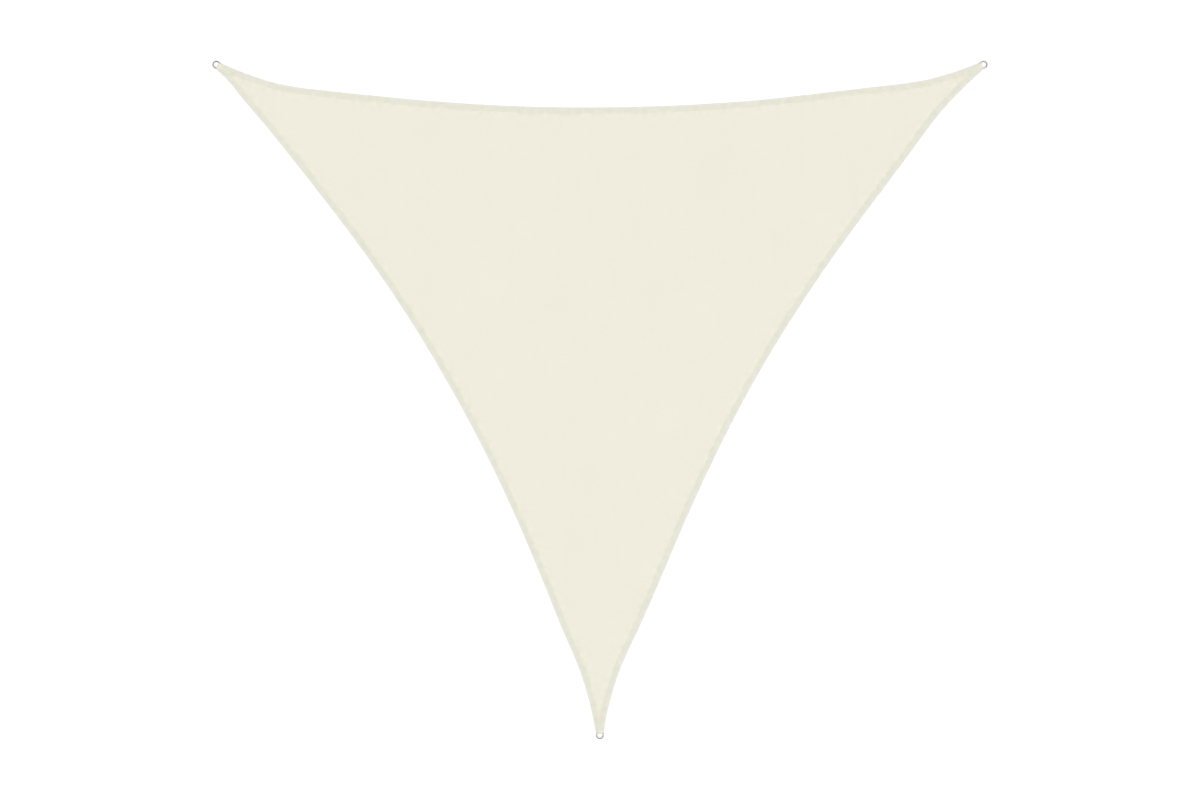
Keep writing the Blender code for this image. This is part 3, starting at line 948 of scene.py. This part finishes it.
def stainless_steel():
    """Polished stainless wire with fine drawing lines and slight handling marks, paler on its legs than
    on its bow: a painted reflection of the cloth and strap beside the legs.

    Its object's X points out along the ring.
    """
    nodes = new_material("stainless_wire")
    x, _, _ = nodes.axes()
    # painted reflection: paler on the legs, beside the cloth and the strap, than on the bow
    colour = nodes.mix(nodes.between(x, LEG_REFLECTION_ZONE, 0.0, 1.0), LEG_PAINTED_REFLECTION_COLOUR, BOW_COLOUR)
    lines = nodes.noise(DRAWN_LINE_LENGTHS, detail=3.0)
    marks = nodes.noise(STEEL_MARK_LENGTHS, detail=4.0)
    nodes.bump(lines, DRAWN_LINE_RELIEF, strength=0.5)
    return nodes.finish(
        Base_Color=nodes.scaled(colour, nodes.ranged(marks, *STEEL_TONES)),
        Metallic=1.0,
        Roughness=nodes.ranged(marks, *STEEL_ROUGHNESS),
    )


# ---- floor, light and camera ----

def floor():
    """A plain pale floor, so wide that it reaches the horizon in every view."""
    nodes = new_material("studio_floor")
    tone = nodes.ranged(nodes.noise(FLOOR_GRAIN_LENGTHS), *FLOOR_TONES)
    material = nodes.finish(
        Base_Color=nodes.scaled(FLOOR_COLOUR, tone),
        Roughness=0.95,
        Specular_IOR_Level=0.0,
    )
    mesh = bpy.data.meshes.new("floor")
    half = FLOOR_SIZE / 2
    corners = [(-half, -half), (half, -half), (half, half), (-half, half)]
    mesh.from_pydata([(x, y, FLOOR_HEIGHT) for x, y in corners], [], [(0, 1, 2, 3)])
    mesh.materials.append(material)
    ground = bpy.data.objects.new("floor", mesh)
    bpy.context.scene.collection.objects.link(ground)


def room_light():
    """White light from all round and above, with a dimmer band where a studio's walls are."""
    nodes = Nodes(bpy.data.worlds.new("studio"))
    split = nodes.add("SeparateXYZ", Vector=nodes.add("TexCoord").outputs["Generated"])
    height = split.outputs["Z"]
    backdrop = nodes.between(height, BACKDROP_ENDS, ROOM_LIGHT - WALL_LIGHT, 0.0)
    ceiling = nodes.between(height, CEILING_STARTS, WALL_LIGHT, ROOM_LIGHT)
    strength = nodes.maths("ADD", backdrop, ceiling)
    bpy.context.scene.world = nodes.finish(Strength=strength, Color=(1, 1, 1, 1))


def lamp():
    """One broad lamp, high up, a little to the right of the sail and in front of it."""
    light = bpy.data.lights.new("broad_lamp", "SUN")
    light.energy = LAMP_STRENGTH
    light.angle = LAMP_ANGLE
    holder = bpy.data.objects.new("broad_lamp", light)
    holder.rotation_euler = (LAMP_FROM_FRONT, LAMP_FROM_RIGHT, 0)
    bpy.context.scene.collection.objects.link(holder)


def camera():
    """Straight above the sail, with its front corner towards the bottom of the picture."""
    lens = bpy.data.cameras.new("camera")
    lens.lens = LENS
    lens.sensor_width = SENSOR
    lens.clip_end = 2 * FLOOR_SIZE
    holder = bpy.data.objects.new("camera", lens)
    holder.location = (0, 0, PICTURE_WIDTH * LENS / SENSOR)
    bpy.context.scene.collection.objects.link(holder)
    bpy.context.scene.camera = holder
    bpy.context.scene.view_settings.view_transform = "Standard"


# ---- the sail ----

def sail():
    """The cloth with its sewing, straps and rings, as one sheet that lies on the floor."""
    low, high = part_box("sail_cloth")
    outline = Outline(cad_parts["sail_cloth"])
    cloth = cloth_piece(outline, low, high)
    companions = []
    thread = sewing_thread()
    for name, start, end in zip(EDGE_NAMES, outline.tips, outline.tips[1:]):
        sewn = sewn_mesh("hem_stitches", hem_stitches(outline, start, end), STITCH_LENGTH)
        companions.append(dress(sewn, "hem_stitches_" + name, (), thread))
    strap = strap_mesh()
    ring = ring_mesh()
    box = sewn_mesh("box_stitches", box_stitches(), BOX_STITCH_LENGTH)
    webbing = woven_webbing()
    steel = stainless_steel()
    for corner in CORNERS:
        name = corner.name
        place = corner.matrix
        companions += [
            dress(strap, "webbing_" + name, ("strap_" + name,), webbing, place),
            dress(ring, "d_ring_" + name, ("ring_" + name,), steel, place),
            dress(box, "box_stitches_" + name, (), thread, place),
        ]


floor()
room_light()
lamp()
camera()
sail()
